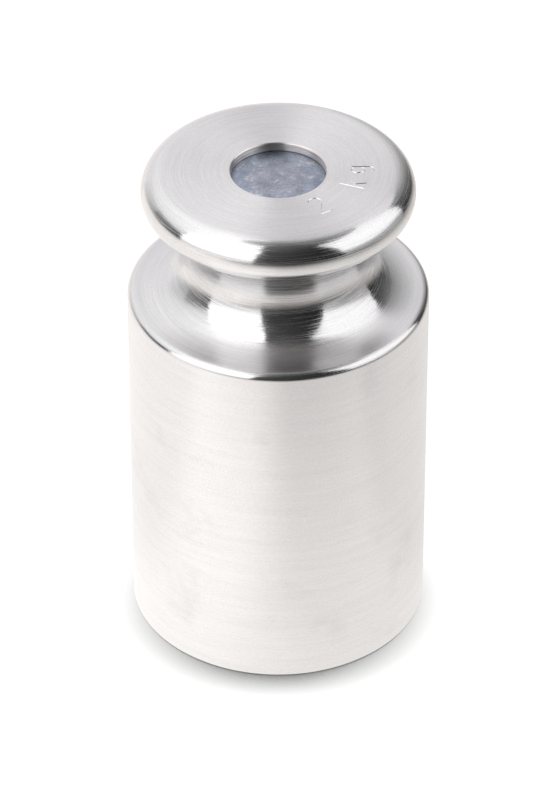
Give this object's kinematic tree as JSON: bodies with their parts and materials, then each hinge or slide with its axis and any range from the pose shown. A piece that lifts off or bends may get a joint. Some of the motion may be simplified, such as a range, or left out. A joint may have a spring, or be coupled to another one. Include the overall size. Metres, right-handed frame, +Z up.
{
  "type": "calibration weight",
  "caption": "Cylindrical stainless steel knob weight with a neck swept in one curve from the shoulder to the round-rimmed lifting knob, and a lead-sealed adjusting cavity in its top.",
  "frame": {"origin": "centre of the flat base, on the surface the weight stands on", "axes": "+Z up along the turning axis towards the knob; the solids are round, so +X and +Y are free, and the denomination on the knob reads from -Y"},
  "size_m": [0.06, 0.06, 0.1039],
  "materials": {
    "steel": "fine turned and ground stainless steel, polished on the neck and the knob's rim",
    "lead": "dull, hammered lead with a mottled blue-grey skin",
    "brass": "turned"
  },
  "bodies": {
    "root": {"weight_body": "steel", "lead_seal": "lead", "cavity_screw_plug": "brass", "adjusting_slugs": "lead"}
  },
  "joints": []
}
